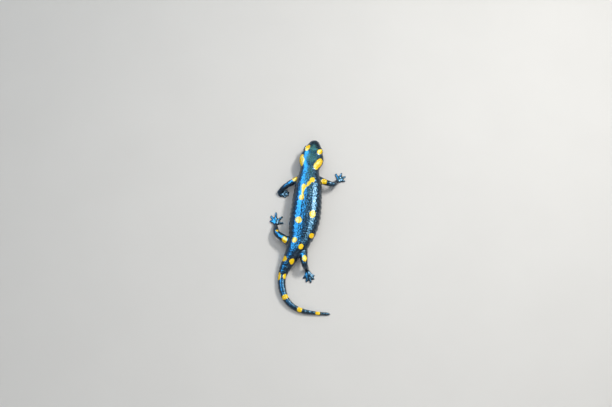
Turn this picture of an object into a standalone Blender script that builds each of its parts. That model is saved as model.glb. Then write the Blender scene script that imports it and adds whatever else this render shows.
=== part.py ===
"""A life-size fire salamander in mid-step, its tail curled to the right: the solids of a still model.

Metres, +Z up, the animal faces +Y. The origin is on the floor, under the middle of its bounding box.
The body is one long loft along a bent spine, parted by thin cuts into head, neck, trunk, hips and four
lengths of tail. Each limb has an upper and a lower length and a hand or foot whose digits grow from a
palm or sole. What touches the floor is cut flat at z = 0.
"""
from math import cos, exp, pi, radians, sin, sqrt

import bmesh
import bpy
import numpy as np
from mathutils import Vector

# Lengths below are in millimetres, angles in degrees. A heading is turned from +Y towards +X.
METRES = 0.001
GAP = 0.3                   # clear space between solids that meet
SNOUT = (6.4, 75.0)         # where the stations start, a little ahead of the tip of the snout
TAIL_END = 181.0            # station of the tip of the tail, along the spine
SPINE_STEP = 0.5
HEAD_HEADING = 9.5          # the head is straight, so its mouth can be cut in one plane

# The way the spine runs: station, heading of the body there.
SPINE = (
    (0, HEAD_HEADING), (22, HEAD_HEADING), (34, 4), (52, 5), (72, 9), (88, 17.5), (98, 28), (107, 32),
    (117, 23), (127, -1), (137, -18), (148, -49), (160, -76), (170, -86), (TAIL_END, -88),
)

# Body sections: station, half width, height over and under the widest line, height of that line.
SECTIONS = (
    (0.4, 0.9, 0.8, 0.7, 7.3),          # tip of the snout
    (0.8, 1.8, 1.5, 1.2, 7.3),
    (1.5, 2.8, 2.2, 1.8, 7.3),
    (2.8, 4.0, 3.0, 2.4, 7.4),
    (5.0, 5.3, 3.8, 3.0, 7.7),
    (8.0, 6.8, 4.4, 3.5, 8.0),
    (11.0, 8.0, 4.8, 4.0, 8.3),         # eyes
    (15.0, 9.2, 5.0, 4.5, 8.6),
    (19.0, 9.6, 5.2, 4.9, 8.9),
    (23.0, 8.9, 5.5, 5.1, 9.2),         # parotoid glands, whose bulge comes on top of this
    (27.5, 7.8, 5.7, 5.2, 9.5),         # neck
    (33.0, 8.7, 6.4, 5.9, 9.9),
    (40.0, 10.5, 7.4, 7.0, 10.3),       # shoulders
    (50.0, 11.7, 8.2, 8.1, 10.6),
    (62.0, 12.4, 8.7, 8.6, 10.8),       # belly
    (74.0, 12.4, 8.6, 8.5, 10.7),
    (84.0, 11.0, 8.0, 7.8, 10.2),
    (92.0, 8.9, 7.3, 7.0, 9.6),         # hips
    (99.0, 7.6, 6.8, 6.5, 8.9),
    (106.0, 5.9, 5.9, 5.6, 7.2),        # root of the tail
    (114.0, 4.5, 4.6, 4.5, 5.2),
    (122.0, 3.5, 3.7, 3.6, 3.45),       # from here on the tail lies on the floor
    (134.0, 2.95, 3.15, 3.0, 2.85),
    (148.0, 2.35, 2.5, 2.35, 2.15),
    (162.0, 1.8, 1.9, 1.8, 1.6),
    (174.0, 1.25, 1.35, 1.3, 1.1),
    (179.0, 1.0, 1.05, 1.0, 0.82),
    (180.5, 0.7, 0.75, 0.75, 0.6),
    (TAIL_END, 0.35, 0.4, 0.4, 0.5),
)
SQUARENESS = 2.25           # exponent of the sections: 2 is an ellipse, more is squarer

# Where the body is parted: name, first station, last station, spacing of the rings, sides.
COSTAL_PITCH = 4.4          # the flank folds once between two ribs
LENGTHS = (
    ("neck", 26.0, 33.0, 1.5, 28),
    ("trunk", 33.0, 90.0, COSTAL_PITCH / 2, 26),
    ("hips", 90.0, 104.0, 2.2, 24),
    ("tail_base", 104.0, 122.0, 2.5, 20),
    ("tail_middle", 122.0, 144.0, 2.5, 16),
    ("tail_end", 144.0, 166.0, 2.6, 14),
    ("tail_tip", 166.0, TAIL_END, 1.6, 12),
)
HEAD_END, HEAD_SPACING, HEAD_SIDES = 26.0, 1.4, 28
SNOUT_END = 5.0             # ahead of here the head has a ring at every section
FIRST_RIB, LAST_RIB = 42.0, 90.0

# Swellings on both sides: station, angle above the horizontal, reach along, reach around, height.
SWELLINGS = (
    (10.0, 47, 2.8, 24, 0.9),           # upper lid over the eye
    (21.0, 30, 5.0, 34, 1.15),          # parotoid gland behind the eye
    (3.2, 35, 1.6, 25, 0.2),            # nostril
    (15.5, -25, 4.0, 26, 0.35),         # jaw muscle
)
# The furrow along the back: depth, reach around, and the stations it fades in and out between.
VERTEBRAL_DEPTH, VERTEBRAL_REACH = 0.35, 13
VERTEBRAL_STATIONS = (28.0, 36.0, 98.0, 108.0)
COSTAL_DEPTH, COSTAL_REACH = 0.28, 42       # a fold between two ribs: depth, reach around
# The fold across the throat: station, depth, reach along, reach around.
GULAR_STATION, GULAR_DEPTH, GULAR_LENGTH, GULAR_REACH = 24.6, 0.6, 0.9, 55

EYE_STATION, EYE_OUT, EYE_HEIGHT, EYE_RADIUS = 10.2, 5.75, 10.2, 2.3
EYE_FACES = (14, 8)         # faces round an eye, and from pole to pole
SOCKET_ROOM = 0.05          # added to the gap, as the flats of the two balls do not line up

# The mouth: station and height of the lower jaw's upper edge, from the snout to the corner.
MOUTH = ((-2.0, 5.7), (1.0, 5.7), (5.0, 6.1), (10.0, 5.9), (14.0, 6.6), (16.5, 7.5))
JAW_HINGE = (18.5, -1.0)    # the cut runs from the corner of the mouth down to here
CUT_HALF_WIDTH = 15.0       # the cut goes past both sides of the head
FLOOR_BLOCK = (400.0, 400.0, 20.0)

# Limbs: the lengths of bone, half thicknesses evenly spaced from the root to the wrist, and the hand.
ARM = {"upper": 13.6, "lower": 9.2, "radii": (3.2, 2.7, 2.4, 2.25, 1.75),
       "palm": 4.2, "palm_width": 2.5, "digit_radii": (1.15, 0.95, 0.75)}
LEG = {"upper": 13.6, "lower": 10.0, "radii": (3.9, 3.3, 2.8, 2.5, 1.9),
       "palm": 5.2, "palm_width": 2.9, "digit_radii": (1.25, 1.0, 0.78)}
WRIST_HEIGHT = 2.2
WRIST_REACH = 0.8           # how far past the end of the forearm the palm turns off
WRIST_BALL = 1.04           # radius of the ball that joins hand and forearm, in wrist radii
WRIST_FACES = (12, 8)
SOLE_DEPTH = 1.1            # half thickness of a palm at its front

# A palm from its heel to the knuckles: place along it, shares of its width and of the sole's depth.
PALM_HEEL, PALM_KNUCKLES = 0.55, 0.5        # how far it reaches back and ahead, in palm lengths
PALM = (
    (0.0, 0.35, 0.6), (0.12, 0.66, 1.15), (0.35, 0.9, 1.35), (0.62, 1.0, 1.2), (0.86, 0.86, 1.0),
    (1.0, 0.5, 0.5),
)
# A digit from the palm to its tip: place along it, which of its three radii holds, share of that.
DIGIT = ((0.08, 0, 0.95), (0.4, 0, 1.0), (0.75, 1, 1.0), (0.92, 2, 1.1), (1.0, 2, 0.5))
DIGIT_LIFT = 0.8            # height of a digit's middle over the floor, in its radii

# Each limb: names of its lengths, sizes, side, station, distance out and height of its root,
# heading and rise of the upper length, heading of the lower length and of the palm, and digits as
# heading and length from the middle of the palm.
LIMBS = (
    {"names": ("left_upper_arm", "left_forearm", "left_hand"), "sizes": ARM, "side": -1,
     "root": (35.0, 6.0, 8.6), "upper": (-116, -1.8), "lower": -124, "palm": 115,
     "digits": ((124, 5.2), (100, 6.8), (78, 7.4), (57, 6.6))},
    {"names": ("right_upper_arm", "right_forearm", "right_hand"), "sizes": ARM, "side": 1,
     "root": (35.0, 6.0, 8.6), "upper": (112, 0.4), "lower": 46, "palm": 40,
     "digits": ((-24, 6.8), (20, 7.4), (58, 6.9), (98, 5.4))},
    {"names": ("left_thigh", "left_shank", "left_foot"), "sizes": LEG, "side": -1,
     "root": (95.0, 6.0, 8.6), "upper": (-53, -1.6), "lower": -13, "palm": 8,
     "digits": ((95, 6.4), (47, 8.0), (2, 9.3), (-34, 7.4), (-74, 5.4))},
    {"names": ("right_thigh", "right_shank", "right_foot"), "sizes": LEG, "side": 1,
     "root": (95.0, 5.0, 8.6), "upper": (175, 3.0), "lower": 148, "palm": 164,
     "digits": ((107, 5.7), (134, 7.0), (162, 8.2), (191, 7.2), (228, 5.6))},
)
LIMB_SIDES, LIMB_RINGS, DIGIT_SIDES = 12, 7, 7     # rings in each length of a limb

# What the roots of the limbs are kept clear of: first station, last station, spacing, sides.
SHOULDER_CLEARANCE = (22.0, 56.0, 1.7, 28)
HIP_CLEARANCE = (80.0, 120.0, 2.2, 26)

MATERIALS = {
    "skin": ((0.012, 0.016, 0.028, 1), 0.22),
    "eye": ((0.004, 0.004, 0.006, 1), 0.05),
}


def smooth(table, s):
    """Read every column of a table at station s, along a cubic through its rows."""
    rows = np.array(table, float)
    x, y = rows[:, 0], rows[:, 1:]
    slope = np.gradient(y, x, axis=0)
    i = int(np.clip(np.searchsorted(x, s) - 1, 0, len(x) - 2))
    width = x[i + 1] - x[i]
    t = (s - x[i]) / width
    near = (2 * t**3 - 3 * t**2 + 1) * y[i] + (t**3 - 2 * t**2 + t) * width * slope[i]
    far = (3 * t**2 - 2 * t**3) * y[i + 1] + (t**3 - t**2) * width * slope[i + 1]
    return near + far


def bump(distance, reach):
    return exp(-((distance / reach) ** 2))


def ramp(value, start, end):
    """0 up to the start, 1 from the end on, straight in between."""
    return min(1.0, max(0.0, (value - start) / (end - start)))


def ahead(heading):
    return np.array((sin(radians(heading)), cos(radians(heading)), 0.0))


def walk_spine():
    """Lay the spine out on the floor, back from the snout, as one point for each step."""
    points = [np.array((SNOUT[0], SNOUT[1], 0.0))]
    for k in range(int(TAIL_END / SPINE_STEP) + 1):
        heading = smooth(SPINE, (k + 0.5) * SPINE_STEP)[0]
        points.append(points[-1] - ahead(heading) * SPINE_STEP)
    return np.array(points)


SPINE_POINTS = walk_spine()


def spine_point(s):
    stations = np.arange(len(SPINE_POINTS)) * SPINE_STEP
    along = np.array([np.interp(s, stations, SPINE_POINTS[:, axis]) for axis in range(3)])
    return along + min(s, 0) * -ahead(HEAD_HEADING)


def beside(s, out, height):
    """The point at station s, out to the animal's right, at a height over the floor."""
    heading = smooth(SPINE, max(s, 0))[0]
    return spine_point(s) + ahead(heading + 90) * out + np.array((0, 0, height))


def relief(s, angle):
    """How far the skin stands out from the plain section; angle is 0 at the right, 90 on top."""
    side = angle if abs(angle) <= 90 else 180 * (1 if angle > 0 else -1) - angle
    height = 0.0
    for station, above, along, around, swell in SWELLINGS:
        height += swell * bump(s - station, along) * bump(side - above, around)
    starts, full, fades, ends = VERTEBRAL_STATIONS
    back = bump(side - 90, VERTEBRAL_REACH) * ramp(s, starts, full) * (1 - ramp(s, fades, ends))
    ribs = bump(side, COSTAL_REACH) * (FIRST_RIB <= s <= LAST_RIB)
    fold = bump(s - GULAR_STATION, GULAR_LENGTH) * bump(side + 90, GULAR_REACH)
    height -= VERTEBRAL_DEPTH * back
    height -= COSTAL_DEPTH * ribs * (0.5 + 0.5 * cos(2 * pi * (s - FIRST_RIB) / COSTAL_PITCH))
    return height - GULAR_DEPTH * fold


def section(s, sides, grow=0.0):
    """One ring of the body at station s, from its right side round over the back."""
    half, over, under, middle = smooth(SECTIONS, s)
    ring = []
    for k in range(sides):
        angle = 360 * k / sides
        c, z = cos(radians(angle)), sin(radians(angle))
        reach = (abs(c) ** SQUARENESS + abs(z) ** SQUARENESS) ** (-1 / SQUARENESS)
        extra = grow + relief(s, angle if angle <= 180 else angle - 360)
        out = c * (reach * half + extra)
        up = z * (reach * (over if z > 0 else under) + extra)
        ring.append(beside(s, out, middle + up))
    return ring


def loft(name, rings, collection, material):
    """Skin a row of rings with equal numbers of points, and close both ends."""
    mesh = bmesh.new()
    loops = [[mesh.verts.new(point * METRES) for point in ring] for ring in rings]
    count = len(loops[0])
    for near, far in zip(loops, loops[1:]):
        for k in range(count):
            mesh.faces.new((near[k], near[(k + 1) % count], far[(k + 1) % count], far[k]))
    mesh.faces.new(loops[0][::-1])
    mesh.faces.new(loops[-1])
    bmesh.ops.recalc_face_normals(mesh, faces=mesh.faces)
    return finish_mesh(name, mesh, collection, material)


def finish_mesh(name, mesh, collection, material):
    data = bpy.data.meshes.new(name)
    mesh.to_mesh(data)
    mesh.free()
    data.shade_smooth()
    if material:
        data.materials.append(material)
    obj = bpy.data.objects.new(name, data)
    collection.objects.link(obj)
    return obj


def body_length(name, start, end, spacing, sides, collection, material, grow=0.0):
    count = max(2, round((end - start) / spacing) + 1)
    stations = np.linspace(start, end, count)
    return loft(name, [section(s, sides, grow) for s in stations], collection, material)


def combine(obj, other, operation):
    step = obj.modifiers.new(f"{operation.lower()} {other.name}", "BOOLEAN")
    step.operation = operation
    step.object = other


def floor_block(cutters):
    """Everything under the floor, taken off what would sink into it."""
    mesh = bmesh.new()
    bmesh.ops.create_cube(mesh, size=1.0)
    for vert in mesh.verts:
        vert.co.z -= 0.5
        vert.co *= Vector(FLOOR_BLOCK) * METRES
    return finish_mesh("floor_block", mesh, cutters, None)


def prism(name, outline, half_width, cutters):
    """A plate across the head whose outline is given as station and height."""
    rings = [[beside(s, side * half_width, z) for s, z in outline] for side in (-1, 1)]
    return loft(name, rings, cutters, None)


def head_and_jaw(collection, cutters, material):
    stations = [row[0] for row in SECTIONS if row[0] < SNOUT_END]
    stations += [*np.arange(SNOUT_END, HEAD_END - HEAD_SPACING / 2, HEAD_SPACING), HEAD_END - GAP / 2]
    rings = [section(s, HEAD_SIDES) for s in stations]
    head = loft("head", rings, collection, material)
    jaw = loft("jaw", rings, collection, material)
    lower = MOUTH + (JAW_HINGE, (MOUTH[0][0], JAW_HINGE[1]))
    grown = tuple((s + GAP * (s > MOUTH[-2][0]), z + GAP) for s, z in MOUTH)
    grown += ((JAW_HINGE[0] + GAP, JAW_HINGE[1]), (MOUTH[0][0], JAW_HINGE[1]))
    combine(jaw, prism("jaw_block", lower, CUT_HALF_WIDTH, cutters), "INTERSECT")
    combine(head, prism("mouth_block", grown, CUT_HALF_WIDTH + GAP, cutters), "DIFFERENCE")
    return head


def ball(name, centre, radius, faces, collection, material):
    mesh = bmesh.new()
    around, rings = faces
    bmesh.ops.create_uvsphere(mesh, u_segments=around, v_segments=rings, radius=radius * METRES)
    obj = finish_mesh(name, mesh, collection, material)
    obj.location = centre * METRES
    return obj


def eyes(head, collection, cutters, material):
    for name, side in (("left", -1), ("right", 1)):
        centre = beside(EYE_STATION, side * EYE_OUT, EYE_HEIGHT)
        ball(f"{name}_eye", centre, EYE_RADIUS, EYE_FACES, collection, material)
        room = EYE_RADIUS + GAP + SOCKET_ROOM
        socket = ball(f"{name}_socket", centre, room, EYE_FACES, cutters, None)
        combine(head, socket, "DIFFERENCE")


def curve_through(points, count):
    """Even samples of a Catmull-Rom curve through the points, with its ends drawn out straight."""
    p = [2 * points[0] - points[1], *points, 2 * points[-1] - points[-2]]
    samples = []
    for k in range(count):
        u = k / (count - 1) * (len(points) - 1)
        i = min(int(u), len(points) - 2)
        t = u - i
        a, b, c, d = p[i:i + 4]
        samples.append(0.5 * (2 * b + (c - a) * t + (2 * a - 5 * b + 4 * c - d) * t**2
                              + (3 * b - a - 3 * c + d) * t**3))
    return samples


def tube_rings(path, widths, depths, sides):
    """Rings square to a path, as wide and deep as given at evenly spaced places along it."""
    rings = []
    for k, point in enumerate(path):
        way = path[min(k + 1, len(path) - 1)] - path[max(k - 1, 0)]
        way /= np.linalg.norm(way)
        across = np.cross(way, (0, 0, 1))
        across /= np.linalg.norm(across)
        up = np.cross(across, way)
        place = k / (len(path) - 1)
        wide = np.interp(place, np.linspace(0, 1, len(widths)), widths)
        deep = np.interp(place, np.linspace(0, 1, len(depths)), depths)
        turns = [2 * pi * j / sides for j in range(sides)]
        rings.append([point + across * wide * cos(a) + up * deep * sin(a) for a in turns])
    return rings


def split(rings, path, cut, gap):
    """Part a row of rings at one of them, each side drawn back from the cut by half the gap."""
    way = path[min(cut + 1, len(path) - 1)] - path[cut - 1]
    nudge = way / np.linalg.norm(way) * gap / 2
    before = rings[:cut] + [[point - nudge for point in rings[cut]]]
    after = [[point + nudge for point in rings[cut]]] + rings[cut + 1:]
    return before, after


def limb(pose, clearance, floor, collection, cutters, material):
    sizes = pose["sizes"]
    station, out, height = pose["root"]
    root = beside(station, pose["side"] * out, height)
    heading, rise = pose["upper"]
    upper_run = sqrt(sizes["upper"] ** 2 - rise**2)
    elbow = root + ahead(heading) * upper_run + np.array((0, 0, rise))
    drop = elbow[2] - WRIST_HEIGHT
    lower_run = sqrt(sizes["lower"] ** 2 - drop**2)
    wrist = elbow + ahead(pose["lower"]) * lower_run - np.array((0, 0, drop))
    palm = wrist + ahead(pose["lower"]) * WRIST_REACH + ahead(pose["palm"]) * sizes["palm"] / 2
    palm[2] = SOLE_DEPTH

    path = curve_through([root, elbow, wrist], 2 * LIMB_RINGS + 1)
    radii = np.array(sizes["radii"])
    rings = tube_rings(path, radii, radii, LIMB_SIDES)
    upper_rings, lower_rings = split(rings, path, LIMB_RINGS, GAP)
    lower_rings, _ = split(lower_rings, path[LIMB_RINGS:], LIMB_RINGS, GAP)
    upper_name, lower_name, hand_name = pose["names"]
    upper = loft(upper_name, upper_rings, collection, material)
    combine(upper, clearance, "DIFFERENCE")
    loft(lower_name, lower_rings, collection, material)
    around = tube_rings(path[LIMB_RINGS:], radii[2:] + GAP, radii[2:] + GAP, LIMB_SIDES)
    wrist_room = loft(f"{lower_name}_clearance", around, cutters, None)

    end_piece = hand(hand_name, wrist, palm, pose, collection, cutters, material)
    combine(end_piece, wrist_room, "DIFFERENCE")
    combine(end_piece, floor, "DIFFERENCE")


def hand(name, wrist, palm, pose, collection, cutters, material):
    """A ball at the wrist, a flat palm and its digits, grown into one."""
    sizes = pose["sizes"]
    way = ahead(pose["palm"])
    heel = palm - way * sizes["palm"] * PALM_HEEL
    knuckles = palm + way * sizes["palm"] * PALM_KNUCKLES
    line = [heel + (knuckles - heel) * place for place, _, _ in PALM]
    widths = [sizes["palm_width"] * share for _, share, _ in PALM]
    depths = [SOLE_DEPTH * share for _, _, share in PALM]
    obj = loft(name, tube_rings(line, widths, depths, LIMB_SIDES), collection, material)
    radius = sizes["radii"][-1] * WRIST_BALL
    joint = ball(f"{name}_joint", wrist, radius, WRIST_FACES, cutters, None)
    combine(obj, joint, "UNION")
    for k, (heading, length) in enumerate(pose["digits"]):
        digit = loft(f"{name}_digit_{k + 1}", digit_rings(palm, heading, length, sizes), cutters, None)
        combine(obj, digit, "UNION")
    return obj


def digit_rings(palm, heading, length, sizes):
    """A stubby finger or toe lying on the floor, with a rounded tip."""
    across, up = ahead(heading + 90), np.array((0.0, 0.0, 1.0))
    turns = [2 * pi * (j + 0.5) / DIGIT_SIDES for j in range(DIGIT_SIDES)]
    rings = []
    for place, which, share in DIGIT:
        radius = sizes["digit_radii"][which] * share
        point = palm * (1, 1, 0) + ahead(heading) * length * place + up * radius * DIGIT_LIFT
        rings.append([point + (across * cos(a) + up * sin(a)) * radius for a in turns])
    return rings


def make_material(name):
    colour, roughness = MATERIALS[name]
    material = bpy.data.materials.new(name)
    material.use_nodes = True
    shader = material.node_tree.nodes["Principled BSDF"]
    shader.inputs["Base Color"].default_value = colour
    shader.inputs["Roughness"].default_value = roughness
    shader.inputs["Metallic"].default_value = 0.0
    return material


def main():
    for obj in list(bpy.data.objects):
        bpy.data.objects.remove(obj)
    animal = bpy.data.collections.new("fire_salamander")
    cutters = bpy.data.collections.new("cutters")
    for collection in (animal, cutters):
        bpy.context.scene.collection.children.link(collection)
    skin, eye = make_material("skin"), make_material("eye")

    floor = floor_block(cutters)
    head = head_and_jaw(animal, cutters, skin)
    eyes(head, animal, cutters, eye)
    for name, start, end, spacing, sides in LENGTHS:
        cut_end = end - GAP / 2 if end < TAIL_END else end
        piece = body_length(name, start + GAP / 2, cut_end, spacing, sides, animal, skin)
        if name.startswith("tail"):
            combine(piece, floor, "DIFFERENCE")

    shoulders = body_length("shoulder_clearance", *SHOULDER_CLEARANCE, cutters, None, grow=GAP)
    pelvis = body_length("hip_clearance", *HIP_CLEARANCE, cutters, None, grow=GAP)
    for pose in LIMBS:
        clearance = shoulders if pose["sizes"] is ARM else pelvis
        limb(pose, clearance, floor, animal, cutters, skin)

    for obj in cutters.objects:
        obj.hide_render = True
        obj.display_type = "WIRE"


main()
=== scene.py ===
"""The finish of a life-size fire salamander: one wet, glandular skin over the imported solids, and its eyes.

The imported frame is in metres: +Y is the way the animal faces, +X its right side, +Z up. The tables here
are in millimetres and degrees. A place on the body is a station, measured along the spine from the snout,
and a side angle, which is 0 at the widest line of either flank, 90 on the back and -90 on the belly.
"""
from math import cos, pi, radians, sin

import bmesh
import bpy
import numpy as np
from mathutils import Matrix, Vector
from mathutils.bvhtree import BVHTree


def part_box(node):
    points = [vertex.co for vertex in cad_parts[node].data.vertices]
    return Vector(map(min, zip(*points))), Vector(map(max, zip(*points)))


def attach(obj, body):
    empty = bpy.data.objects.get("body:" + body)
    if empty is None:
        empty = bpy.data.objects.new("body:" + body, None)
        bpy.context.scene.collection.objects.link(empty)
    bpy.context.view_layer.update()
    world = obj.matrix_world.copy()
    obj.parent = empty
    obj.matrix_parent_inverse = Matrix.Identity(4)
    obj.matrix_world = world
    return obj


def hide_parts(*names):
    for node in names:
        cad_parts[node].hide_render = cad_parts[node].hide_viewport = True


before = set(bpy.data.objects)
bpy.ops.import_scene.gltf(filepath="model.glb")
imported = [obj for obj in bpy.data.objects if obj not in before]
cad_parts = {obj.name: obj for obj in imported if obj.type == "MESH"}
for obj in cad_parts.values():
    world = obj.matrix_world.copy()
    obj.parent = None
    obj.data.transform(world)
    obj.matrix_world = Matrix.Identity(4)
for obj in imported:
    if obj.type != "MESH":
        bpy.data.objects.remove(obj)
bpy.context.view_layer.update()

MM = 1000.0                 # millimetres in a metre

# ---------------------------------------------------------------------------------------------------------
# Where things are on the animal
# ---------------------------------------------------------------------------------------------------------
SNOUT = (6.4, 75.0)
TAIL_END = 181.0
SPINE_STEP = 0.25
COARSE = 8                  # the nearest place is first sought at every so many steps

# The way the spine runs: station, heading of the body there, turned from +Y towards +X.
# The headings began as figures worked out by another program, and were then rounded and changed.
SPINE = (
    (0, 9.5), (22, 9.5), (34, 4), (52, 5), (72, 9), (88, 17.5), (98, 28), (107, 32),
    (117, 23), (127, -1), (137, -18), (148, -49), (160, -76), (170, -86), (TAIL_END, -88),
)
# Height of the widest line of the body over the floor.
MIDDLE = (
    (0, 7.3), (5, 7.7), (11, 8.3), (19, 8.9), (27.5, 9.5), (40, 10.3), (62, 10.8), (74, 10.7), (92, 9.6),
    (99, 8.9), (106, 7.2), (114, 5.2), (122, 3.45), (134, 2.85), (148, 2.15), (162, 1.6), (TAIL_END, 0.5),
)

EYES = {"left_eye": -1, "right_eye": 1}
FLESH = [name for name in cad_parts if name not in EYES]
HANDS = [name for name in FLESH if name.endswith(("_hand", "_foot"))]
LIMBS = [name for name in FLESH if name.startswith(("left_", "right_"))]
BODY = [name for name in FLESH if name not in LIMBS]

# The skin: how it is grown over the solids, and how fine it is.
SWELL = 0.3                 # the solids are swollen by this before they are made one, then drawn back
VOXEL = 0.42
FINE_REACH = 17.0           # the head is twice as fine from the snout back to here
GAP_LIMIT = 4.0             # distances to hands, limbs and body are followed no farther than this
SMOOTH_ROUNDS, THICK_ROUNDS, JOIN_ROUNDS, HEAD_ROUNDS = 24, 40, 14, 3
PULL, PUSH = 0.5, -0.52     # share of the way to the neighbours' mean, and back out again
SOLE_HEIGHT = 0.12          # skin lower than this lies flat on the floor

# The eyes: the gaze is turned forward from straight out, and lifted; the opening is an ellipse.
GAZE_TURN, GAZE_LIFT = 16.0, 14.0
LID_OPENING = (54.0, 37.0, 36.0)        # half length, height of the upper lid, depth of the lower one
UPPER_LID, LOWER_LID = 0.46, 0.3        # thickness of the lids over the eyeball
LID_REACH = 2.6                         # how far past the eyeball the skin is shaped as a lid
LID_CREASE = 0.06
SOCKET_FILL = 0.22                      # the skin closes round the eyeball at this distance
CORNEA_HEIGHT, CORNEA_EDGE = 0.13, 46   # rise at the pole, and how far from the pole it ends

# Folds and glands: depths and heights over the smooth skin.
FIRST_RIB, RIBS, RIB_PITCH = 40.0, 12, 4.4
RIB_DEPTH, RIB_WIDTH, RIB_LEAN = 0.25, 1.1, 0.02        # the lean is millimetres for each degree
RIB_BULGE, RIB_GLAND = 0.17, 0.25
BACK_RIDGE, BACK_RIDGE_WIDTH = 0.12, 1.4
GLAND_PITCH, GLAND_ROW = 2.2, 1.9       # along the back, and out from its mid line
GLAND_LENGTH, GLAND_WIDTH, GLAND_HEIGHT = 0.62, 0.75, 0.09
GLAND_PORE_RADIUS, GLAND_PORE_DEPTH = 0.2, 0.08
TAIL_START = 104.0
TAIL_RING_PITCH, TAIL_RING_DEPTH, TAIL_GROOVE = 3.6, 0.16, 0.1
THROAT_FOLD, THROAT_FOLD_DEPTH = 24.6, 0.35
NECK_FOLDS = ((27.4, 0.12), (30.2, 0.16), (33.4, 0.14), (36.8, 0.1))        # station, depth
JOINT_FOLDS = ((-1.9, 0.1), (-0.7, 0.18), (0.5, 0.2), (1.6, 0.12))      # place down the limb, depth
BODY_WRINKLES, LIMB_WRINKLES = 0.13, 0.1
GRANULE_SIZE, GRANULE_HEIGHT = 1.4, 0.16
FINE_GRANULE_SIZE = 0.8
UNEVEN_SIZE, UNEVEN_HEIGHT = 5.0, 0.1
MOUTH_DEPTH, MOUTH_WIDTH = 0.5, 0.22
MOUTH_CORNER = 16.0
LIP_HEIGHT = 0.1
NOSTRIL = (2.3, 28, 0.26, 0.45)         # station, side angle, radius, depth
NOSTRIL_RIM = (0.7, 0.35, 0.06)         # radius, width, height

# These three tables are data more than design: most of their places were worked out by another program
# and typed in. Of 36 rows, 12 hold its figures unchanged, 11 lie within 0.5 mm and 5 degrees of them, and
# 4 were moved further. The other 9 were placed one by one: the middle of the stripe, the six on throat,
# belly and low flank, and the two on the right hand. Sizes and slants were given one by one.
#
# The yellow spots on the lids: station, distance out to the right, half length, half width, and how far
# the long axis is turned to the right as it runs back.
LID_SPOTS = (
    (9.9, -5.0, 3.15, 1.85, -16),
    (11.8, 5.75, 2.5, 1.95, -14),
)
# The yellow spots of the body: station, turn about the spine, half length, half width, and how far the
# long axis is turned to the left as it runs back.
BODY_SPOTS = (
    (14.4, 2, 1.5, 0.8, 0),             # corner of the mouth
    (21.5, 154, 5.0, 2.1, -6),          # parotoid glands
    (23.4, 34, 5.7, 2.5, 16),
    (39.6, 67, 2.3, 2.0, 20),           # between the shoulders
    (43.4, 87, 3.4, 1.3, 32),
    (46.6, 116, 3.3, 1.8, 0),           # the long stripe
    (51.6, 118, 4.4, 0.85, 0),
    (56.0, 120, 2.5, 1.9, 0),
    (69.5, 53, 3.2, 2.4, 8),            # trunk
    (76.0, 120, 2.8, 2.5, 0),
    (85.5, 28, 1.85, 2.8, -12),
    (93.5, 116, 2.6, 1.9, 0),           # hips
    (96.3, 58, 2.1, 1.9, 0),
    (110.0, 128, 2.1, 2.25, 0),         # root of the tail
    (109.2, 53, 2.2, 2.2, 0),
    (123.2, 131, 2.9, 1.6, 0),          # tail
    (123.0, 52, 2.3, 1.5, 0),
    (140.5, 82, 1.9, 3.4, 0),
    (156.2, 84, 2.1, 2.7, 0),
    (171.0, 90, 1.9, 1.9, 0),
    (18.0, -72, 1.5, 1.1, 20),          # throat and belly
    (21.5, -108, 1.1, 0.8, 0),
    (58.0, -20, 1.6, 1.1, 5),
    (63.0, -118, 1.5, 1.0, 30),
    (81.0, -158, 2.0, 1.2, 0),
    (77.0, -74, 1.3, 0.9, 0),
)
# The yellow spots of the limbs: centre, and radius along and across the animal.
LIMB_SPOTS = (
    ((-10.6, 39.1, 10.4), 2.2, 2.4),
    ((13.5, 36.4, 11.6), 2.4, 2.5),
    ((-18.9, -14.1, 11.3), 2.7, 2.1),
    ((-25.0, -5.6, 8.9), 1.0, 1.0),
    ((-2.5, -30.8, 14.7), 2.9, 1.9),
    ((-3.6, -39.3, 2.0), 0.5, 0.5),
    ((22.4, 45.8, 1.2), 0.9, 0.8),
    ((21.8, 39.6, 3.2), 1.0, 0.9),
)
SPOT_EDGE_WOBBLE = 0.28
SPOT_HEIGHT = 0.08
PAROTOID_PORES = ((18.4, 154, -6), (19.6, 29, 14))       # first station and turn of a row, and its slant
PORES, PORE_PITCH, PORE_DEPTH, PORE_RADIUS = 6, 1.45, 0.2, 0.24
PORE_ROW, PORE_STAGGER = 0.75, 0.25     # half the distance of the two rows, and how far one is behind


def smooth(table, s):
    """Read every column of a table at the stations s, along a cubic through its rows."""
    rows = np.array(table, float)
    x, y = rows[:, 0], rows[:, 1:]
    slope = np.gradient(y, x, axis=0)
    i = np.clip(np.searchsorted(x, s) - 1, 0, len(x) - 2)
    width = (x[i + 1] - x[i])[:, None]
    t = (np.clip(s, x[0], x[-1]) - x[i])[:, None] / width
    near = (2 * t**3 - 3 * t**2 + 1) * y[i] + (t**3 - 2 * t**2 + t) * width * slope[i]
    far = (3 * t**2 - 2 * t**3) * y[i + 1] + (t**3 - t**2) * width * slope[i + 1]
    return near + far


def ahead(heading):
    turn = np.radians(heading)
    return np.stack([np.sin(turn), np.cos(turn), np.zeros_like(turn)], axis=-1)


def lay_spine():
    stations = np.arange(0, TAIL_END + SPINE_STEP, SPINE_STEP)
    steps = ahead(smooth(SPINE, stations + SPINE_STEP / 2)[:, 0]) * SPINE_STEP
    walked = np.cumsum(steps, axis=0) - steps
    points = np.array((*SNOUT, 0.0)) - walked
    points[:, 2] = smooth(MIDDLE, stations)[:, 0]
    return stations, points


STATIONS, SPINE_POINTS = lay_spine()
HEADINGS = smooth(SPINE, STATIONS)[:, 0]
FORWARD, RIGHTWARD = ahead(HEADINGS), ahead(HEADINGS + 90)


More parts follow.
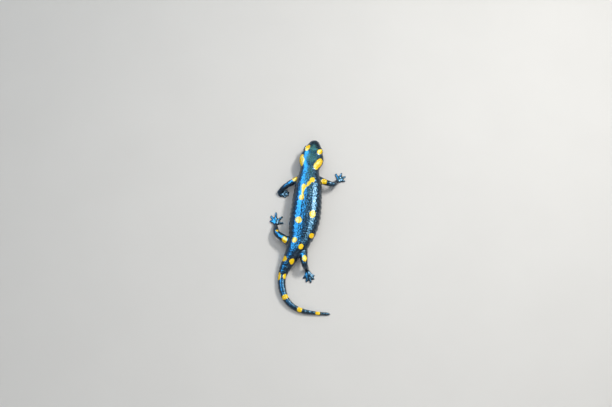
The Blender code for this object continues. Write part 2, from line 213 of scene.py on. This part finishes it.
class Places:
    """Where points lie on the body: station, side (-1 left, 1 right), side angle and radius."""

    def __init__(self, points):
        nearest = np.empty(len(points), int)
        for start in range(0, len(points), 20000):
            flat = points[start:start + 20000, None, :2] - SPINE_POINTS[None, ::COARSE, :2]
            nearest[start:start + 20000] = np.argmin(flat[..., 0] ** 2 + flat[..., 1] ** 2, axis=1)
        nearest *= COARSE
        for _ in range(2):
            away = points - SPINE_POINTS[nearest]
            self.s = STATIONS[nearest] - (away * FORWARD[nearest]).sum(axis=1)
            nearest = np.clip(np.round(self.s / SPINE_STEP), 0, len(STATIONS) - 1).astype(int)
        self.out = ((points - SPINE_POINTS[nearest]) * RIGHTWARD[nearest]).sum(axis=1)
        self.up = points[:, 2] - smooth(MIDDLE, self.s)[:, 0]
        self.side = np.where(self.out < 0, -1, 1)
        self.angle = np.degrees(np.arctan2(self.up, np.abs(self.out)))
        self.turn = np.degrees(np.arctan2(self.up, self.out))
        self.radius = np.hypot(self.out, self.up)

    def across(self, angle):
        """Distance over the skin, round either side of the body, from a side angle."""
        return np.radians(self.angle - angle) * self.radius

    def around(self, turn):
        """The same from a turn about the spine, which runs from 0 on the right over the back."""
        return np.radians((self.turn - turn + 180) % 360 - 180) * self.radius


def bump(distance, reach):
    return np.exp(-((distance / reach) ** 2))


def ramp(value, start, end):
    """0 before start and 1 past end, with a soft step between them."""
    t = np.clip((value - start) / (end - start), 0, 1)
    return t * t * (3 - 2 * t)


def between(value, start, end, soft):
    return ramp(value, start, start + soft) * (1 - ramp(value, end - soft, end))


def lattice(cells, seed):
    """A repeatable random number for each whole-numbered cell."""
    mixed = cells.astype(np.int64) @ np.array((73856093, 19349663, 83492791)) + seed * 2654435761
    mixed = (mixed ^ (mixed >> 13)) * 1274126177
    return ((mixed ^ (mixed >> 16)) & 0xFFFF) / 0xFFFF * 2 - 1


def noise(points, size, seed=0):
    """Soft value noise from -1 to 1, with cells of the given size."""
    scaled = points / size
    cell = np.floor(scaled)
    t = scaled - cell
    t = t * t * (3 - 2 * t)
    total = np.zeros(len(points))
    for corner in np.ndindex(2, 2, 2):
        share = np.prod(np.where(corner, t, 1 - t), axis=1)
        total += share * lattice(cell + np.array(corner), seed)
    return total


# ---------------------------------------------------------------------------------------------------------
# The skin's base: one even mesh over all the flesh
# ---------------------------------------------------------------------------------------------------------
def read_points(mesh):
    flat = np.empty(len(mesh.vertices) * 3, np.float32)
    mesh.vertices.foreach_get("co", flat)
    return flat.reshape(-1, 3).astype(float) * MM


def write_points(mesh, points):
    mesh.vertices.foreach_set("co", (points / MM).astype(np.float32).ravel())
    mesh.update()


def read_normals(mesh):
    flat = np.empty(len(mesh.vertices) * 3, np.float32)
    mesh.vertices.foreach_get("normal", flat)
    return flat.reshape(-1, 3).astype(float)


def read_edges(mesh):
    flat = np.empty(len(mesh.edges) * 2, np.int32)
    mesh.edges.foreach_get("vertices", flat)
    return flat.reshape(-1, 2)


def write_values(mesh, name, values):
    layer = mesh.attributes.get(name) or mesh.attributes.new(name, "FLOAT", "POINT")
    layer.data.foreach_set("value", values.astype(np.float32))


def read_values(mesh, name):
    values = np.empty(len(mesh.vertices), np.float32)
    mesh.attributes[name].data.foreach_get("value", values)
    return values.astype(float)


def welded(name):
    """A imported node's mesh with its doubled points joined."""
    shape = bmesh.new()
    shape.from_mesh(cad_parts[name].data)
    bmesh.ops.remove_doubles(shape, verts=shape.verts, dist=1e-6)
    shape.normal_update()
    return shape


def tree_of(names):
    whole = bmesh.new()
    for name in names:
        whole.from_mesh(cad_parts[name].data)
    tree = BVHTree.FromBMesh(whole)
    whole.free()
    return tree


def distances(tree, points, mask, limit):
    """Distance of each masked point to a tree, or the limit where it is farther."""
    found = np.full(len(points), float(limit))
    for i in np.flatnonzero(mask):
        gap = tree.find_nearest(Vector(points[i] / MM), limit / MM)[3]
        if gap is not None:
            found[i] = gap * MM
    return found


def eye_centre(name):
    low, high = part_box(name)
    return np.array((Vector(low) + Vector(high)) / 2) * MM


def eye_radius(name):
    low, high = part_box(name)
    return (high[2] - low[2]) / 2 * MM


def swollen_flesh():
    whole = bmesh.new()
    for name in FLESH:
        shape = welded(name)
        for vert in shape.verts:
            vert.co += vert.normal * SWELL / MM
        carrier = bpy.data.meshes.new("carrier")
        shape.to_mesh(carrier)
        shape.free()
        whole.from_mesh(carrier)
        bpy.data.meshes.remove(carrier)
    for name in EYES:
        radius = eye_radius(name) + SOCKET_FILL + SWELL
        place = Matrix.Translation(eye_centre(name) / MM)
        bmesh.ops.create_uvsphere(whole, u_segments=32, v_segments=20, radius=radius / MM, matrix=place)
    mesh = bpy.data.meshes.new("swollen_flesh")
    whole.to_mesh(mesh)
    whole.free()
    return mesh


def with_modifier(mesh, kind, **settings):
    """The mesh as one modifier leaves it."""
    obj = bpy.data.objects.new("work", mesh)
    bpy.context.scene.collection.objects.link(obj)
    step = obj.modifiers.new(kind, kind)
    for name, value in settings.items():
        setattr(step, name, value)
    graph = bpy.context.evaluated_depsgraph_get()
    made = bpy.data.meshes.new_from_object(obj.evaluated_get(graph))
    bpy.data.objects.remove(obj)
    return made


def neighbours_mean(points, edges, count):
    total = np.empty_like(points)
    for axis in range(3):
        total[:, axis] = np.bincount(edges[:, 0], points[edges[:, 1], axis], len(points))
        total[:, axis] += np.bincount(edges[:, 1], points[edges[:, 0], axis], len(points))
    return total / count


def relax(points, edges, weight, rounds, spring_back=True):
    """Smooth the points, by default without shrinking what is larger than a few edges."""
    count = np.bincount(edges.ravel(), minlength=len(points))[:, None]
    for _ in range(rounds):
        for factor in (PULL, PUSH) if spring_back else (PULL,):
            points = points + weight[:, None] * factor * (neighbours_mean(points, edges, count) - points)
    return points


def base_skin():
    """One mesh over all the flesh, with the facets of the solids smoothed away."""
    mesh = with_modifier(swollen_flesh(), "REMESH", mode="VOXEL", voxel_size=VOXEL / MM)
    mesh.shade_smooth()
    points = read_points(mesh)
    points = points - read_normals(mesh) * SWELL
    edges = read_edges(mesh)
    everywhere = np.ones(len(points), bool)
    hands, limbs, body = [
        distances(tree_of(names), points, everywhere, GAP_LIMIT) for names in (HANDS, LIMBS, BODY)
    ]
    free = 0.25 + 0.75 * ramp(hands, 0.5, 2.5)
    points = relax(points, edges, free, SMOOTH_ROUNDS)
    points = relax(points, edges, free * ramp(limbs, 0.6, 3.0), THICK_ROUNDS)
    join = bump(limbs, 1.6) * bump(body, 1.6) * ramp(hands, 1.0, 3.0)
    points = relax(points, edges, join, JOIN_ROUNDS, spring_back=False)
    write_points(mesh, points)
    write_values(mesh, "limb_gap", limbs)
    write_values(mesh, "hand_gap", hands)
    refine_head(mesh)
    return with_modifier(mesh, "SUBSURF", levels=1, render_levels=1)


def refine_head(mesh):
    """Halve the faces of the head, and ease what that leaves."""
    places = Places(read_points(mesh))
    shape = bmesh.new()
    shape.from_mesh(mesh)
    shape.verts.ensure_lookup_table()
    inside = places.s < FINE_REACH
    edges = [edge for edge in shape.edges if inside[edge.verts[0].index] and inside[edge.verts[1].index]]
    bmesh.ops.subdivide_edges(shape, edges=edges, cuts=1, use_grid_fill=True)
    shape.to_mesh(mesh)
    shape.free()
    points = read_points(mesh)
    near = 1 - ramp(Places(points).s, FINE_REACH - 1, FINE_REACH + 1)
    points = relax(points, read_edges(mesh), near, HEAD_ROUNDS)
    write_points(mesh, points)


# ---------------------------------------------------------------------------------------------------------
# The skin's relief
# ---------------------------------------------------------------------------------------------------------
def eye_axes(name):
    """Gaze, upward and forward directions of an eye."""
    heading, side = HEADINGS[0], EYES[name]
    outward = ahead(np.array(heading + 90 * side - GAZE_TURN * side))
    gaze = outward * cos(radians(GAZE_LIFT)) + np.array((0, 0, sin(radians(GAZE_LIFT))))
    upward = np.array((0, 0, 1)) - gaze * gaze[2]
    upward /= np.linalg.norm(upward)
    forward = np.cross(upward, gaze)
    forward *= np.sign(forward @ ahead(np.array(heading)))
    return gaze, upward, forward


def open_lids(points, name):
    """Draw the skin off the eyeball within the opening of the lids, and thicken their edges."""
    centre, radius = eye_centre(name), eye_radius(name)
    gaze, upward, forward = eye_axes(name)
    away = points - centre
    reach = np.linalg.norm(away, axis=1)
    near = np.flatnonzero((reach < radius + LID_REACH) & (away @ gaze > -0.2))
    away, reach = away[near], reach[near]
    along = np.degrees(np.arctan2(away @ forward, away @ gaze))
    above = np.degrees(np.arctan2(away @ upward, away @ gaze))
    length, top, bottom = LID_OPENING
    ring = np.hypot(along / length, above / np.where(above > 0, top, bottom))
    upper = ramp(above, -25, 25)
    thick = LOWER_LID + (UPPER_LID - LOWER_LID) * upper
    edge = radius - 0.5 + (thick + 0.5) * ramp(ring, 0.88, 1.03)
    crease = LID_CREASE * bump(ring - 1.62, 0.16) * (0.35 + 0.65 * upper)
    edge = edge - 0.4 * (thick - 0.1) * ramp(ring, 1.12, 1.6)
    hold = 1 - ramp(ring, 1.45, 2.1)
    wanted = reach + (edge - reach) * hold - crease
    points[near] = centre + away / reach[:, None] * wanted[:, None]
    return points


def folds(places, body):
    """Height of the folds and glands of head, trunk and tail over the smooth skin."""
    s, angle = places.s, places.angle
    middle = places.across(90)              # distance from the mid line of the back
    height = np.zeros(len(s))

    # Furrows between the ribs, slanting back and down, with the flank full between them.
    lean = s - RIB_LEAN * (30 - angle)
    phase = (lean - FIRST_RIB) / RIB_PITCH
    nearest = np.clip(np.round(phase), 0, RIBS - 1)
    furrow = bump((phase - nearest) * RIB_PITCH, RIB_WIDTH)
    flank = bump(angle + 12, 44) * between(s, FIRST_RIB - 3, FIRST_RIB + RIBS * RIB_PITCH, 4)
    uneven = 0.85 + 0.3 * noise(np.stack([nearest * 3.1, places.side * 2.3, angle / 50], axis=1), 1.0, 15)
    height -= RIB_DEPTH * furrow * flank * uneven
    height += RIB_BULGE * flank * (0.5 - 0.5 * np.cos(2 * pi * phase))

    # The mid line of the back, and a row of glands on each side of it.
    back = between(s, 27, 112, 8)
    height += BACK_RIDGE * back * bump(middle, BACK_RIDGE_WIDTH)
    slot = s - GLAND_PITCH * np.round(s / GLAND_PITCH)
    aside = np.abs(middle) - GLAND_ROW
    height += GLAND_HEIGHT * back * bump(slot, GLAND_LENGTH) * bump(aside, GLAND_WIDTH)
    height -= GLAND_PORE_DEPTH * back * bump(np.hypot(slot, aside), GLAND_PORE_RADIUS)

    # A gland high on the flank of each rib.
    slot = lean - FIRST_RIB - RIB_PITCH * (np.round(phase - 0.5) + 0.5)
    dot = bump(slot, 0.85) * bump(places.across(40), 0.8)
    height += RIB_GLAND * dot * between(s, FIRST_RIB, 92, 3)

    # Rings of the tail.
    tail = between(s, TAIL_START, TAIL_END - 2, 6)
    ring = (s - TAIL_START) / TAIL_RING_PITCH
    ring = bump((ring - np.round(ring)) * TAIL_RING_PITCH, 0.4)
    height -= TAIL_RING_DEPTH * tail * ring * (1 - ramp(s, TAIL_START, TAIL_END) * 0.6)
    height -= TAIL_GROOVE * tail * bump(middle, 0.4) * (1 - ramp(s, 130, 160))

    # Folds of the throat and neck.
    height -= THROAT_FOLD_DEPTH * bump(s - THROAT_FOLD, 0.7) * bump(angle + 90, 75)
    for station, depth in NECK_FOLDS:
        height -= depth * bump(s - station + 0.02 * angle, 0.45) * bump(angle + 20, 60)
    return height * body


def pits(places, head):
    """Depth of the nostrils, which have a low rim, and of the pores of the parotoid glands."""
    depth = np.zeros(len(places.s))
    station, angle, radius, deep = NOSTRIL
    hole = np.hypot(places.s - station, places.across(angle))
    rim_radius, rim_width, rim_height = NOSTRIL_RIM
    depth += deep * bump(hole, radius) - rim_height * bump(hole - rim_radius, rim_width)
    for start, turn, slant in PAROTOID_PORES:
        for back in np.arange(PORES) * PORE_PITCH:
            along = places.s - start - back
            sideways = places.around(turn) - sin(radians(slant)) * back
            for row in (-PORE_ROW, PORE_ROW):
                pore = np.hypot(along - PORE_STAGGER * row, sideways - row)
                depth += PORE_DEPTH * bump(pore, PORE_RADIUS)
    return depth * head


def crease_mouth(points, normals, places):
    """Press in the line where the solids of head and jaw meet."""
    head = places.s < MOUTH_CORNER + 2
    above = distances(tree_of(["head"]), points, head, 3.0)
    below = distances(tree_of(["jaw"]), points, head, 3.0)
    line = bump(above - below, MOUTH_WIDTH) * bump(np.minimum(above, below), 0.9)
    line *= 1 - ramp(places.s, MOUTH_CORNER - 0.8, MOUTH_CORNER + 0.8)
    lips = bump(above - below, 0.9) * bump(np.minimum(above, below), 1.2)
    lips *= 1 - ramp(places.s, MOUTH_CORNER - 2, MOUTH_CORNER)
    return points + normals * (LIP_HEIGHT * lips - MOUTH_DEPTH * line)[:, None], line


def crease_joints(points, normals, limb_gap):
    """Wrinkle the skin across each elbow and knee."""
    height = np.zeros(len(points))
    for side in ("left", "right"):
        for upper, lower in (("upper_arm", "forearm"), ("thigh", "shank")):
            near, far = [welded(f"{side}_{name}") for name in (upper, lower)]
            first = np.array([vert.co for vert in near.verts]) * MM
            second = np.array([vert.co for vert in far.verts]) * MM
            way = second.mean(axis=0) - first.mean(axis=0)
            way /= np.linalg.norm(way)
            joint = (first[np.argsort(first @ way)[-12:]].mean(axis=0)
                     + second[np.argsort(second @ way)[:12]].mean(axis=0)) / 2
            away = points - joint
            along = away @ way
            hold = bump(np.linalg.norm(away, axis=1), 4.2) * bump(limb_gap, 0.8)
            for place, depth in JOINT_FOLDS:
                height -= depth * hold * bump(along - place, 0.34)
            near.free()
            far.free()
    return points + normals * height[:, None]


def wrinkles(points, places, body):
    """Fine folds that run round the body, and looser ones on the limbs."""
    unrolled = np.stack([places.s / 0.75, places.across(0) / 3.2, places.side * 3.0], axis=1)
    soft = np.maximum(bump(places.angle + 20, 50), bump(places.s - 29, 6))
    lines = -np.abs(noise(unrolled, 1.0, 3)) * BODY_WRINKLES * soft * ramp(places.s, 15, 24)
    loose = -np.abs(noise(points, 1.3, 5)) * LIMB_WRINKLES
    return lines * body + loose * (1 - body)


def pebbles(points, size, seed):
    """Rounded granules packed side by side: 1 on top of each, 0 in the clefts between them."""
    scaled = points / size
    cell = np.floor(scaled)
    nearest = np.full(len(points), 9.0)
    for step in np.ndindex(3, 3, 3):
        corner = cell + np.array(step) - 1
        jitter = np.stack([lattice(corner, seed + axis) for axis in range(3)], axis=1)
        away = corner + 0.5 + 0.42 * jitter - scaled
        nearest = np.minimum(nearest, (away**2).sum(axis=1))
    return np.clip(1 - nearest / 0.72, 0, 1)


def grain(points, places, body, smooth_skin):
    """Granules on back and flanks, finer ones elsewhere, and a broad unevenness."""
    flanks = ramp(places.s, 22, 34) * (1 - 0.6 * ramp(places.s, 100, 130)) * body
    large = GRANULE_HEIGHT * flanks * ramp(places.angle, -50, 0) * pebbles(points, GRANULE_SIZE, 21)
    fine = 0.02 + 0.03 * (1 - body) + 0.02 * ramp(places.s, 18, 26)
    small = fine * pebbles(points, FINE_GRANULE_SIZE, 31) * smooth_skin
    return large + small + UNEVEN_HEIGHT * noise(points, UNEVEN_SIZE, 9)


def spot_field(points, places, body):
    """Signed distance to the edge of the yellow, below 0 inside it."""
    field = np.full(len(points), 3.0)
    under = 3 * (1 - ramp(places.up, 0.8, 2.4))
    for station, out, half_length, half_width, slant in LID_SPOTS:
        sideways = places.out - out
        field = soft_least(field, oval(places.s - station, sideways, half_length, half_width, slant) + under)
    for station, turn, half_length, half_width, slant in BODY_SPOTS:
        sideways = places.around(turn)
        spot = oval(places.s - station, sideways, half_length, half_width, slant)
        field = soft_least(field, spot + 3 * (1 - body))
    for centre, along, across in LIMB_SPOTS:
        away = (points - np.array(centre)) / (across, along, max(along, across))
        field = soft_least(field, (np.linalg.norm(away, axis=1) - 1) * min(along, across) + 3 * body)
    wobble = noise(points, 1.7, 11) + 0.5 * noise(points, 0.7, 12)
    return field + SPOT_EDGE_WOBBLE * wobble


def oval(along, sideways, half_length, half_width, slant):
    """Distance past the edge of an oval, its long axis turned towards +sideways."""
    c, z = cos(radians(slant)), sin(radians(slant))
    along, sideways = along * c + sideways * z, sideways * c - along * z
    return (np.hypot(along / half_length, sideways / half_width) - 1) * min(half_length, half_width)


def soft_least(a, b, blend=0.5):
    h = np.clip(0.5 + 0.5 * (b - a) / blend, 0, 1)
    return b + (a - b) * h - blend * h * (1 - h)


def make_skin():
    mesh = base_skin()
    mesh.name = "skin"
    points = read_points(mesh)
    for name in EYES:
        points = open_lids(points, name)
    write_points(mesh, points)

    places = Places(points)
    limb_gap, hand_gap = read_values(mesh, "limb_gap"), read_values(mesh, "hand_gap")
    body = ramp(limb_gap, 0.3, 1.1)
    head = 1 - ramp(places.s, 30, 32)
    normals = read_normals(mesh)
    eyelids = np.ones(len(points))
    for name in EYES:
        eyelids *= ramp(np.linalg.norm(points - eye_centre(name), axis=1), eye_radius(name) + 0.2, 4.2)
    height = folds(places, body) - pits(places, head * body) + wrinkles(points, places, body) * eyelids
    spots = spot_field(points, places, body)
    bare = ramp(spots, -0.5, 0.2)
    grains = grain(points, places, body, eyelids) * (0.4 + 0.6 * ramp(hand_gap, 0.5, 3.0))
    height += grains * (0.35 + 0.65 * bare) + SPOT_HEIGHT * (1 - bare)
    points, mouth = crease_mouth(points, normals, places)
    points = crease_joints(points, normals, limb_gap)
    clear = ramp(points[:, 2], 0.15, 0.9)
    points += normals * (height * clear)[:, None]
    points[:, 2] = np.where(points[:, 2] < SOLE_HEIGHT, 0.0, points[:, 2])
    write_points(mesh, points)
    write_values(mesh, "spot", spots)
    write_values(mesh, "belly", ramp(-places.angle, 25, 60) * body)
    # Where a painted reflection lies: green on the top of the head, standing in for the light of leaves
    # mirrored there.
    write_values(mesh, "crown_leaf_sheen", bump(places.s - 11, 6) * bump(places.angle - 90, 45) * body)
    # The mouth line and the pits are kept so the material can paint shade into them: near black in these
    # recesses.
    write_values(mesh, "mouth", mouth)
    write_values(mesh, "pore", np.clip(pits(places, head * body) * 5, 0, 1))
    for name in ("limb_gap", "hand_gap"):
        mesh.attributes.remove(mesh.attributes[name])
    mesh.shade_smooth()
    skin = add_piece("skin", mesh, skin_material())
    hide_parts(*FLESH)


def add_piece(name, mesh, material):
    piece = bpy.data.objects.new(name, mesh)
    bpy.context.scene.collection.objects.link(piece)
    mesh.materials.clear()
    mesh.materials.append(material)
    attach(piece, "root")
    return piece


def make_eye(name):
    """An eyeball with its pole on the gaze and a low cornea."""
    gaze, upward, forward = eye_axes(name)
    centre, radius = eye_centre(name), eye_radius(name)
    shape = bmesh.new()
    bmesh.ops.create_uvsphere(shape, u_segments=72, v_segments=56, radius=1.0)
    mesh = bpy.data.meshes.new(name + "ball")
    shape.to_mesh(mesh)
    shape.free()
    ball = np.empty(len(mesh.vertices) * 3, np.float32)
    mesh.vertices.foreach_get("co", ball)
    ball = ball.reshape(-1, 3).astype(float)
    polar = np.degrees(np.arccos(np.clip(ball[:, 2], -1, 1)))
    reach = radius + CORNEA_HEIGHT * (1 - ramp(polar, 8, CORNEA_EDGE))
    turned = ball[:, :1] * forward + ball[:, 1:2] * upward + ball[:, 2:] * gaze
    write_points(mesh, centre + turned * reach[:, None])
    write_values(mesh, "polar", polar)
    mesh.shade_smooth()
    piece = add_piece(name + "ball", mesh, eye_material())
    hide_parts(name)


# ---------------------------------------------------------------------------------------------------------
# Materials
# ---------------------------------------------------------------------------------------------------------
BLACK, BLUE_BLACK = (0.002, 0.003, 0.006, 1), (0.003, 0.007, 0.015, 1)
# The green is a painted reflection of leaf light on the top of the head; the grey of the belly is its own
# colour.
LEAF_SHEEN_GREEN, BELLY_GREY = (0.008, 0.028, 0.018, 1), (0.012, 0.012, 0.014, 1)
YELLOW, DEEP_YELLOW = (0.98, 0.67, 0.0, 1), (0.92, 0.54, 0.0, 1)
# Painted shade: near black laid in the nostrils, the pores of the parotoid glands and the line of the mouth.
PIT_SHADE_BLACK = (0.003, 0.003, 0.004, 1)
# The blue tint is painted sky colour in the sheen: it turns every reflection of the neutral lamps blue, as
# the open sky does on the wet back. The warm tint keeps the sheen on the yellow from turning blue.
SKY_BLUE_SHEEN, WET_WARM = (0.35, 0.68, 1.0, 1), (0.5, 0.42, 0.3, 1)      # tints of the sheen
IRIS_DARK, IRIS_BROWN = (0.010, 0.006, 0.004, 1), (0.035, 0.02, 0.01, 1)
PUPIL_BLACK, EYE_RIM = (0.001, 0.001, 0.001, 1), (0.004, 0.003, 0.003, 1)
FLOOR_SHADES = (0.66, 0.65, 0.63, 1), (0.70, 0.69, 0.67, 1)
BEAD_SIZE, GRIT_SIZE = 0.62, 0.28
SKIN_GRAIN, FILM_GRAIN = 0.08, 0.05     # heights of the finest grain, and of the film of water on it
PUPIL_EDGE, IRIS_EDGE = 18, 40          # degrees from the pole of the eyeball


class Nodes:
    """A material's node tree, with short ways to add to it."""

    def __init__(self, name):
        self.material = bpy.data.materials.new(name)
        self.material.use_nodes = True
        self.tree = self.material.node_tree
        self.shader = self.tree.nodes["Principled BSDF"]
        place = self.add("TexCoord").outputs["Object"]
        scaled = self.add("VectorMath", {0: place, "Scale": MM}, operation="SCALE")
        self.millimetres = scaled.outputs[0]

    def add(self, kind, inputs=None, **settings):
        made = self.tree.nodes.new("ShaderNode" + kind)
        for key, value in settings.items():
            setattr(made, key, value)
        for key, value in (inputs or {}).items():
            self.put(made.inputs[key], value)
        return made

    def put(self, socket, value):
        if isinstance(value, bpy.types.NodeSocket):
            self.tree.links.new(value, socket)
        else:
            socket.default_value = value

    def attribute(self, name):
        return self.add("Attribute", attribute_name=name).outputs["Fac"]

    def noise(self, size, detail=2.0, roughness=0.5):
        inputs = {"Vector": self.millimetres, "Scale": 1 / size, "Detail": detail, "Roughness": roughness}
        return self.add("TexNoise", inputs).outputs["Fac"]

    def cells(self, size):
        inputs = {"Vector": self.millimetres, "Scale": 1 / size}
        return self.add("TexVoronoi", inputs, feature="SMOOTH_F1").outputs["Distance"]

    def math(self, operation, a, b=0.0):
        return self.add("Math", {0: a, 1: b}, operation=operation).outputs[0]

    def step(self, value, start, end, low=0.0, high=1.0):
        inputs = {"Value": value, "From Min": start, "From Max": end, "To Min": low, "To Max": high}
        return self.add("MapRange", inputs, interpolation_type="SMOOTHSTEP").outputs[0]

    def mix(self, share, a, b):
        made = self.tree.nodes.new("ShaderNodeMix")
        made.data_type = "RGBA"
        colours = [socket for socket in made.inputs if socket.type == "RGBA"]
        self.put(made.inputs["Factor"], share)
        self.put(colours[0], a)
        self.put(colours[1], b)
        return [socket for socket in made.outputs if socket.type == "RGBA"][0]

    def set(self, **values):
        for name, value in values.items():
            self.put(self.shader.inputs[name.replace("_", " ")], value)


def skin_material():
    m = Nodes("wet_skin")
    yellow = m.step(m.attribute("spot"), -0.1, 0.12, 1.0, 0.0)
    black = m.mix(m.step(m.noise(6.0, 3), 0.35, 0.65), BLACK, BLUE_BLACK)
    # Painted reflection: a green sheen of mirrored leaf light laid into the colour of the head top.
    black = m.mix(m.math("MULTIPLY", m.attribute("crown_leaf_sheen"), 0.8), black, LEAF_SHEEN_GREEN)
    black = m.mix(m.attribute("belly"), black, BELLY_GREY)
    warm = m.mix(m.step(m.noise(2.6, 3), 0.35, 0.7), YELLOW, DEEP_YELLOW)
    colour = m.mix(yellow, black, warm)
    # Painted shade in the nostrils, pores and mouth line.
    pit_shade = m.math("MAXIMUM", m.attribute("pore"), m.attribute("mouth"))
    colour = m.mix(pit_shade, colour, PIT_SHADE_BLACK)
    rough = m.step(m.noise(0.9, 4), 0.3, 0.75, 0.16, 0.32)
    beads = m.math("MULTIPLY", m.cells(BEAD_SIZE), 0.9)
    grit = m.math("MULTIPLY", m.noise(GRIT_SIZE, 3), 0.5)
    heights = m.math("ADD", beads, grit)
    grain_normal, film_normal = [
        m.add("Bump", {"Height": heights, "Distance": depth / MM, "Strength": strength}).outputs["Normal"]
        for depth, strength in ((SKIN_GRAIN, 0.8), (FILM_GRAIN, 0.7))
    ]
    m.set(Base_Color=colour, Roughness=rough, Normal=grain_normal, Coat_Normal=film_normal)
    # Painted reflection colour: the sheen of the black skin is tinted sky blue.
    m.set(IOR=1.7, Specular_Tint=m.mix(yellow, SKY_BLUE_SHEEN, WET_WARM))
    m.set(Coat_Weight=m.step(yellow, 0.0, 1.0, 0.25, 0.12), Coat_Roughness=0.1, Coat_IOR=1.5)
    return m.material


def eye_material():
    m = Nodes("wet_eye")
    polar = m.attribute("polar")
    fibre = m.step(m.noise(0.35, 3), 0.4, 0.7)
    iris = m.mix(fibre, IRIS_DARK, IRIS_BROWN)
    colour = m.mix(m.step(polar, PUPIL_EDGE - 1, PUPIL_EDGE + 1), PUPIL_BLACK, iris)
    colour = m.mix(m.step(polar, IRIS_EDGE - 4, IRIS_EDGE + 4), colour, EYE_RIM)
    m.set(Base_Color=colour, Roughness=m.step(m.noise(0.6), 0.3, 0.7, 0.06, 0.12), IOR=1.4)
    m.set(Coat_Weight=1.0, Coat_Roughness=0.02)
    return m.material


def floor_material():
    m = Nodes("plain_floor")
    m.set(Base_Color=m.mix(m.noise(60.0, 3), *FLOOR_SHADES))
    m.set(Roughness=0.9, Specular_IOR_Level=0.1)
    return m.material


# ---------------------------------------------------------------------------------------------------------
# Floor, light and camera
# ---------------------------------------------------------------------------------------------------------
TARGET = (-1.4, 21.2, 0.0)              # what the middle of the frame looks at
CAMERA_DISTANCE, CAMERA_ELEVATION, LENS = 988.0, 70.0, 70.0
FLOOR_SIZE = 3000.0

# Softboxes: name, place, size across and along +Y, colour, watts, and whether each lights what is matt
# and shows in what is glossy. The blue ones stand for the open sky that a wet back mirrors.
LIGHTS = (
    ("key", (330, 240, 570), (100, 170), (1.0, 0.98, 0.95), 2.9, True, True),
    ("fill", (0, 0, 900), (500, 500), (1.0, 0.99, 0.97), 1.9, True, False),
    ("rear", (60, -520, 420), (300, 200), (1.0, 0.98, 0.96), 0.3, True, True),
    ("sky", (-440, 190, 390), (380, 800), (0.03, 0.40, 1.0), 1.9, False, True),
    ("sky_heart", (-262, 240, 490), (280, 720), (0.09, 0.58, 1.0), 12.5, False, True),
    ("right_sky", (350, 130, 460), (320, 560), (0.52, 0.88, 1.0), 4.6, False, True),
    ("leaf_glow", (30, 470, 420), (200, 180), (0.45, 1.0, 0.65), 0.5, False, True),
)
STUDIO = (0.92, 0.96, 1.0)
STUDIO_STRENGTH = 0.36


def make_floor():
    shape = bmesh.new()
    bmesh.ops.create_grid(shape, x_segments=24, y_segments=24, size=FLOOR_SIZE / 2 / MM)
    mesh = bpy.data.meshes.new("floor")
    shape.to_mesh(mesh)
    shape.free()
    floor = bpy.data.objects.new("floor", mesh)
    floor.location.z = -0.02 / MM
    bpy.context.scene.collection.objects.link(floor)
    mesh.materials.append(floor_material())


def make_lights():
    for name, place, (width, length), colour, watts, on_matt, in_gloss in LIGHTS:
        light = bpy.data.lights.new(name, "AREA")
        light.shape = "RECTANGLE"
        light.size, light.size_y = width / MM, length / MM
        light.color, light.energy = colour, watts
        lamp = bpy.data.objects.new(name, light)
        back = Vector(place).normalized()
        across = Vector((0, 1, 0)).cross(back).normalized()
        turn = Matrix((across, back.cross(across), back)).transposed().to_4x4()
        lamp.matrix_world = Matrix.Translation(Vector(place) / MM) @ turn
        lamp.visible_diffuse, lamp.visible_glossy = on_matt, in_gloss
        bpy.context.scene.collection.objects.link(lamp)
    world = bpy.data.worlds.new("studio")
    world.use_nodes = True
    background = world.node_tree.nodes["Background"]
    background.inputs["Color"].default_value = (*STUDIO, 1)
    background.inputs["Strength"].default_value = STUDIO_STRENGTH
    bpy.context.scene.world = world


def make_camera():
    camera = bpy.data.cameras.new("camera")
    camera.lens = LENS
    camera.clip_start, camera.clip_end = 0.01, 20.0
    stand = bpy.data.objects.new("camera", camera)
    rise = radians(CAMERA_ELEVATION)
    back = Vector((0, -cos(rise), sin(rise)))
    stand.location = (Vector(TARGET) + back * CAMERA_DISTANCE) / MM
    stand.rotation_euler = back.to_track_quat("Z", "Y").to_euler()
    bpy.context.scene.collection.objects.link(stand)
    bpy.context.scene.camera = stand


def main():
    make_skin()
    for name in EYES:
        make_eye(name)
    make_floor()
    make_lights()
    make_camera()
    bpy.context.scene.view_settings.view_transform = "Standard"


main()
